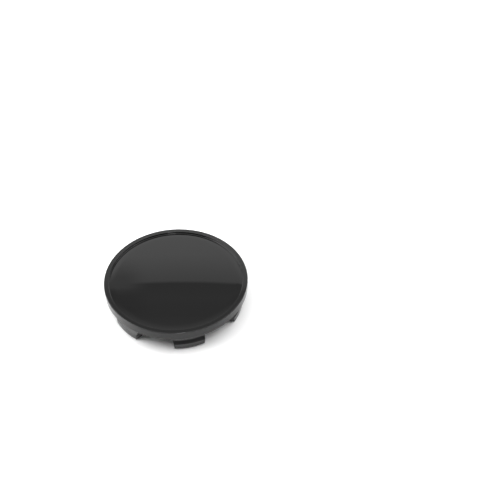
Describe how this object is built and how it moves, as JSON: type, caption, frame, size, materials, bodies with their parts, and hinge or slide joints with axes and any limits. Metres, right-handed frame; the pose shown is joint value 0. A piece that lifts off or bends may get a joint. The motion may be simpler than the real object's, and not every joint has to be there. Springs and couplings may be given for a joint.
{
  "type": "wheel centre cap",
  "caption": "Round snap-in centre cap for a road wheel: a flanged disc with a raised rim and a shallow domed face, on sprung clips that hook behind the wheel's hub hole.",
  "frame": {"origin": "on the plane of the clip tips, under the middle of the face, where the cap stands on a table", "axes": "+Z along the cap's axis, out of the wheel; one clip is centred on -Y"},
  "size_m": [0.06, 0.06, 0.0126],
  "materials": {
    "black_plastic": "black moulded plastic, glossy on the face and rim, satin on the outer wall and the clips"
  },
  "bodies": {
    "root": {"centre_cap": "black_plastic"}
  },
  "joints": []
}
